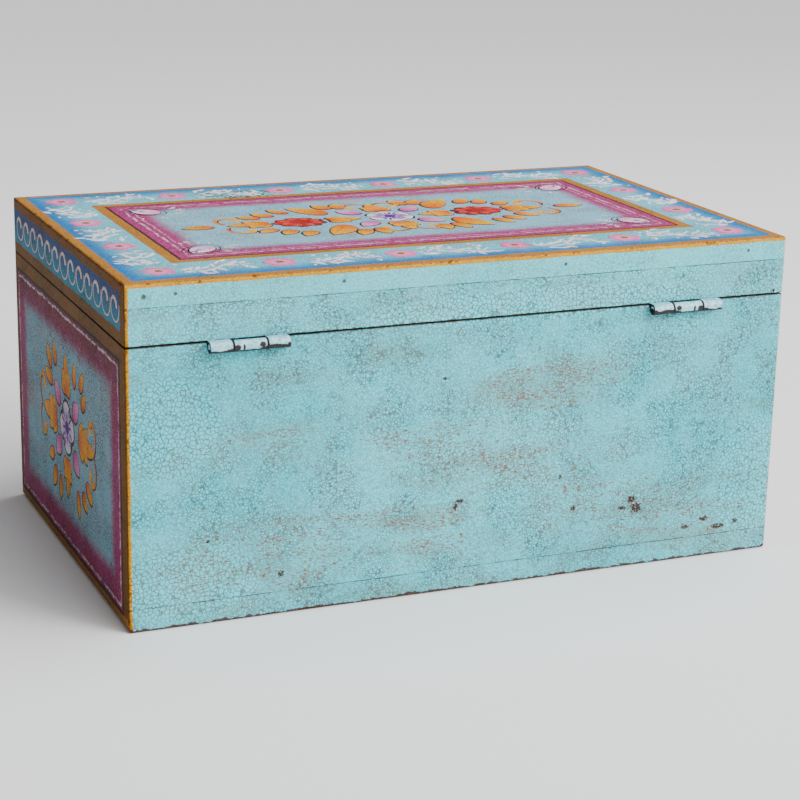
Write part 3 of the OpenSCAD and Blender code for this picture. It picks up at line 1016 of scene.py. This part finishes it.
def sprig(brush, rng, middle, lean, reach):
    """A white S-shaped stem between two flowers, with plump comma leaves on both sides of it."""
    swing = rng.choice((-1, 1)) * rng.uniform(5.5, 8.0)
    stem = [(reach * (k / 8 - 1) * 0.82, swing * math.sin(math.pi * (k / 8 - 1))) for k in range(17)]
    placed = turned(stem, middle, lean)
    widths = [0.8 + 1.4 * math.sin(math.pi * k / 16) for k in range(17)]
    brush.ribbon(placed, widths, STROKE_WHITE, CROWN * 0.7)
    for k in range(17):
        side = 1 if k % 2 else -1
        off = rng.uniform(2.5, 9.0)
        u, v = stem[k]
        at = turned([(u + rng.uniform(-1.5, 1.5), v + side * off)], middle, lean)[0]
        turn = lean + side * rng.uniform(0.2, 1.6)
        stroke(brush, at, turn, rng.uniform(6.0, 10.5), rng.uniform(2.2, 4.2), rng.uniform(-2.4, 2.4))
    for k in range(8):
        at = turned([(rng.uniform(-reach, reach), rng.uniform(-13, 13))], middle, lean)[0]
        stroke(brush, at, rng.uniform(0, 3), rng.uniform(2.6, 4.2), rng.uniform(1.8, 3.0), 0.3)


def border_runs():
    """The middle of each stretch between flowers: (u, v, runs along u)."""
    runs = [(u, v, True) for v in (BORDER_V, -BORDER_V) for u in SPRIGS_ALONG]
    return runs + [(u, v, False) for u in (-BORDER_U, BORDER_U) for v in SPRIGS_ACROSS]


def end_medallion(brush, rng, middle):
    cu, cv = middle

    def put(u, v):
        return (cu + u + rng.uniform(-0.8, 0.8), cv + v + rng.uniform(-0.8, 0.8))
    for u, v, angle, length, width in END_LEAVES:
        leaf(brush, put(u, v), angle, length, width)
    for su, sv in QUADRANTS:
        lean = mirrored(0.8, su, sv)
        shaded(brush, petal_outline(17, 12), put(su * 21, sv * 17), lean, DROP_PALE, DROP_PINK)
        curl(brush, (cu + su * 66, cv + sv * 4), mirrored(0.65, su, sv), su * sv, 22, 6)
    for u, v, angle, length, width in END_PALMETTES:
        palmette(brush, put(u, v), angle, length, width)
    outlined_flower(brush, middle, 16.5, 4, 0.1)


# The running scroll on the lid's edge: one wave's length, its radius, its height and how many go round
SCROLL_PITCH = 18.7
SCROLL_RADIUS = 7.3
SCROLL_MIDDLE = 185.6
END_WAVES = 13
FRONT_WAVES = 21


def running_scroll(brush, rng, last_u, count):
    """Repeated waves along the lid: a thick hook that turns over, and a fine tail that rises to the next."""
    for n in range(count):
        centre_u = last_u - SCROLL_PITCH * (n + 0.5)
        grown = SCROLL_RADIUS * rng.uniform(0.94, 1.05)
        path, widths = [], []
        for k in range(38):
            t = k / 37
            turn = math.radians(15 + 368 * t)
            radius = grown * (0.56 + 0.44 * min(t / 0.34, 1.0) ** 0.7 + 0.46 * max(t - 0.68, 0.0) / 0.32)
            path.append(polar((centre_u, SCROLL_MIDDLE), radius, turn))
            widths.append(1.0 + 2.3 * math.exp(-((t - 0.10) / 0.20) ** 2))
        brush.ribbon(path, widths, CREAM)


END_MEDALLION_V = 84.0
END_MEDALLION_SHIFT = 2.0
FRONT_MEDALLION_V = 82.0
FRONT_SCALE = 0.88
# How far each scroll's first wave starts from the corner
RIGHT_SCROLL_INSET = 10
LEFT_SCROLL_INSET = 1
FRONT_SCROLL_INSET = 13


def painted(name, body, canvas, material, draw, *details):
    """One piece: what a drawing function puts on a canvas, riding on a body."""
    brush = Brush(canvas)
    draw(brush, *details)
    brush.build(name, body, material)


def paint_motifs():
    material = motif_paint()
    rng = random.Random(SEED)
    top = Canvas((0, 0, HEIGHT), (-1, 0, 0), (0, -1, 0))
    painted("top_medallion", "lid", top, material, top_medallion, rng)
    painted("top_corner_shells", "lid", top, material, corner_shells, rng)
    painted("top_border_flowers", "lid", top, material, top_border, rng)
    right = Canvas((HALF_W, 0, 0), (0, 1, 0), (0, 0, 1))
    left = Canvas((-HALF_W, 0, 0), (0, -1, 0), (0, 0, 1))
    for name, canvas, inset, shift in (("right_end", right, RIGHT_SCROLL_INSET, -END_MEDALLION_SHIFT),
                                       ("left_end", left, LEFT_SCROLL_INSET, END_MEDALLION_SHIFT)):
        middle = (shift, END_MEDALLION_V)
        last_u = HALF_D - inset
        painted(name + "_medallion", "body", canvas, material, end_medallion, rng, middle)
        painted(name + "_lid_scroll", "lid", canvas, material, running_scroll, rng, last_u, END_WAVES)
    front = Canvas((0, -HALF_D, FRONT_MEDALLION_V), (1, 0, 0), (0, 0, 1), FRONT_SCALE)
    painted("front_medallion", "body", front, material, top_medallion, rng)
    front = Canvas((0, -HALF_D, 0), (1, 0, 0), (0, 0, 1))
    last_u = HALF_W - FRONT_SCROLL_INSET
    painted("front_lid_scroll", "lid", front, material, running_scroll, rng, last_u, FRONT_WAVES)


# ------------------------------ the CAD pieces' materials

def dress_nodes():
    boards = chest_paint()
    hinges = hinge_paint()
    metal = steel()
    for name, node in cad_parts.items():
        if "leaf" in name or name.endswith("hinge_pin"):
            material = hinges
        elif name.endswith(("nails", "screws")):
            material = metal
        else:
            material = boards
        node.data.materials.clear()
        node.data.materials.append(material)


# ------------------------------ stage

# Places in metres, the lens in millimetres
CAMERA_AT = Vector((0.5126, 1.2129, 0.4685))
CAMERA_AIM = Vector((0.0003, 0.0231, 0.0886))
CAMERA_ROLL = math.radians(-1.22)
CAMERA_LENS = 95.5
# Lights: place or direction, size or spread, and strength
LIGHT_AIM = (0, 0, 0.1)
PANEL_SIZE = 1.2
KEY_AT = (-1.5, 1.9, 1.4)
KEY_POWER = 54
TOP_AT = (-0.9, -0.2, 2.0)
TOP_POWER = 24
BROAD_FROM = (-0.55, 0.70, 1.0)
BROAD_POWER = 3.0
BROAD_SPREAD = math.radians(60)
SKY_TINT = (0.97, 0.98, 1.0, 1.0)
SKY_STRENGTH = 0.24
FLOOR_REACH = 6.0
FLOOR_PALE = (0.93, 0.93, 0.93, 1.0)
FLOOR_DARK = (0.90, 0.90, 0.90, 1.0)


def place_camera():
    forward = (CAMERA_AIM - CAMERA_AT).normalized()
    right = forward.cross(Vector((0, 0, 1))).normalized()
    up = right.cross(forward)
    c, s = math.cos(CAMERA_ROLL), math.sin(CAMERA_ROLL)
    rolled_right = right * c - up * s
    rolled_up = right * s + up * c
    data = bpy.data.cameras.new("camera")
    data.lens = CAMERA_LENS
    data.sensor_width = 36.0
    camera = bpy.data.objects.new("camera", data)
    turn = Matrix((rolled_right, rolled_up, -forward)).transposed()
    camera.matrix_world = Matrix.Translation(CAMERA_AT) @ turn.to_4x4()
    bpy.context.scene.collection.objects.link(camera)
    bpy.context.scene.camera = camera


def soft_light(name, at, power):
    data = bpy.data.lights.new(name, "AREA")
    data.shape = "SQUARE"
    data.size = PANEL_SIZE
    data.energy = power
    light = bpy.data.objects.new(name, data)
    direction = Vector(LIGHT_AIM) - Vector(at)
    light.location = at
    light.rotation_euler = direction.to_track_quat("-Z", "Y").to_euler()
    bpy.context.scene.collection.objects.link(light)


def broad_light():
    """A very soft light from far away, even over the whole floor."""
    data = bpy.data.lights.new("broad", "SUN")
    data.energy = BROAD_POWER
    data.angle = BROAD_SPREAD
    light = bpy.data.objects.new("broad", data)
    light.rotation_euler = (-Vector(BROAD_FROM)).to_track_quat("-Z", "Y").to_euler()
    bpy.context.scene.collection.objects.link(light)


def light_stage():
    soft_light("key", KEY_AT, KEY_POWER)
    soft_light("top", TOP_AT, TOP_POWER)
    broad_light()
    world = bpy.data.worlds.new("studio")
    world.use_nodes = True
    sky = world.node_tree.nodes["Background"]
    sky.inputs["Color"].default_value = SKY_TINT
    sky.inputs["Strength"].default_value = SKY_STRENGTH
    bpy.context.scene.world = world


def lay_floor():
    mesh = bpy.data.meshes.new("floor")
    corners = [(FLOOR_REACH * u, FLOOR_REACH * v, 0) for u, v in ((-1, -1), (1, -1), (1, 1), (-1, 1))]
    mesh.from_pydata(corners, [], [(0, 1, 2, 3)])
    g = Graph("pale_floor")
    tone = g.mix(0.15 * g.noise(0.004, 2.0), FLOOR_PALE, FLOOR_DARK)
    mesh.materials.append(g.finish(tone, 0.75, g.noise(0.05, 2.0), 0.01))
    floor = bpy.data.objects.new("floor", mesh)
    bpy.context.scene.collection.objects.link(floor)


dress_nodes()
paint_motifs()
place_camera()
light_stage()
lay_floor()
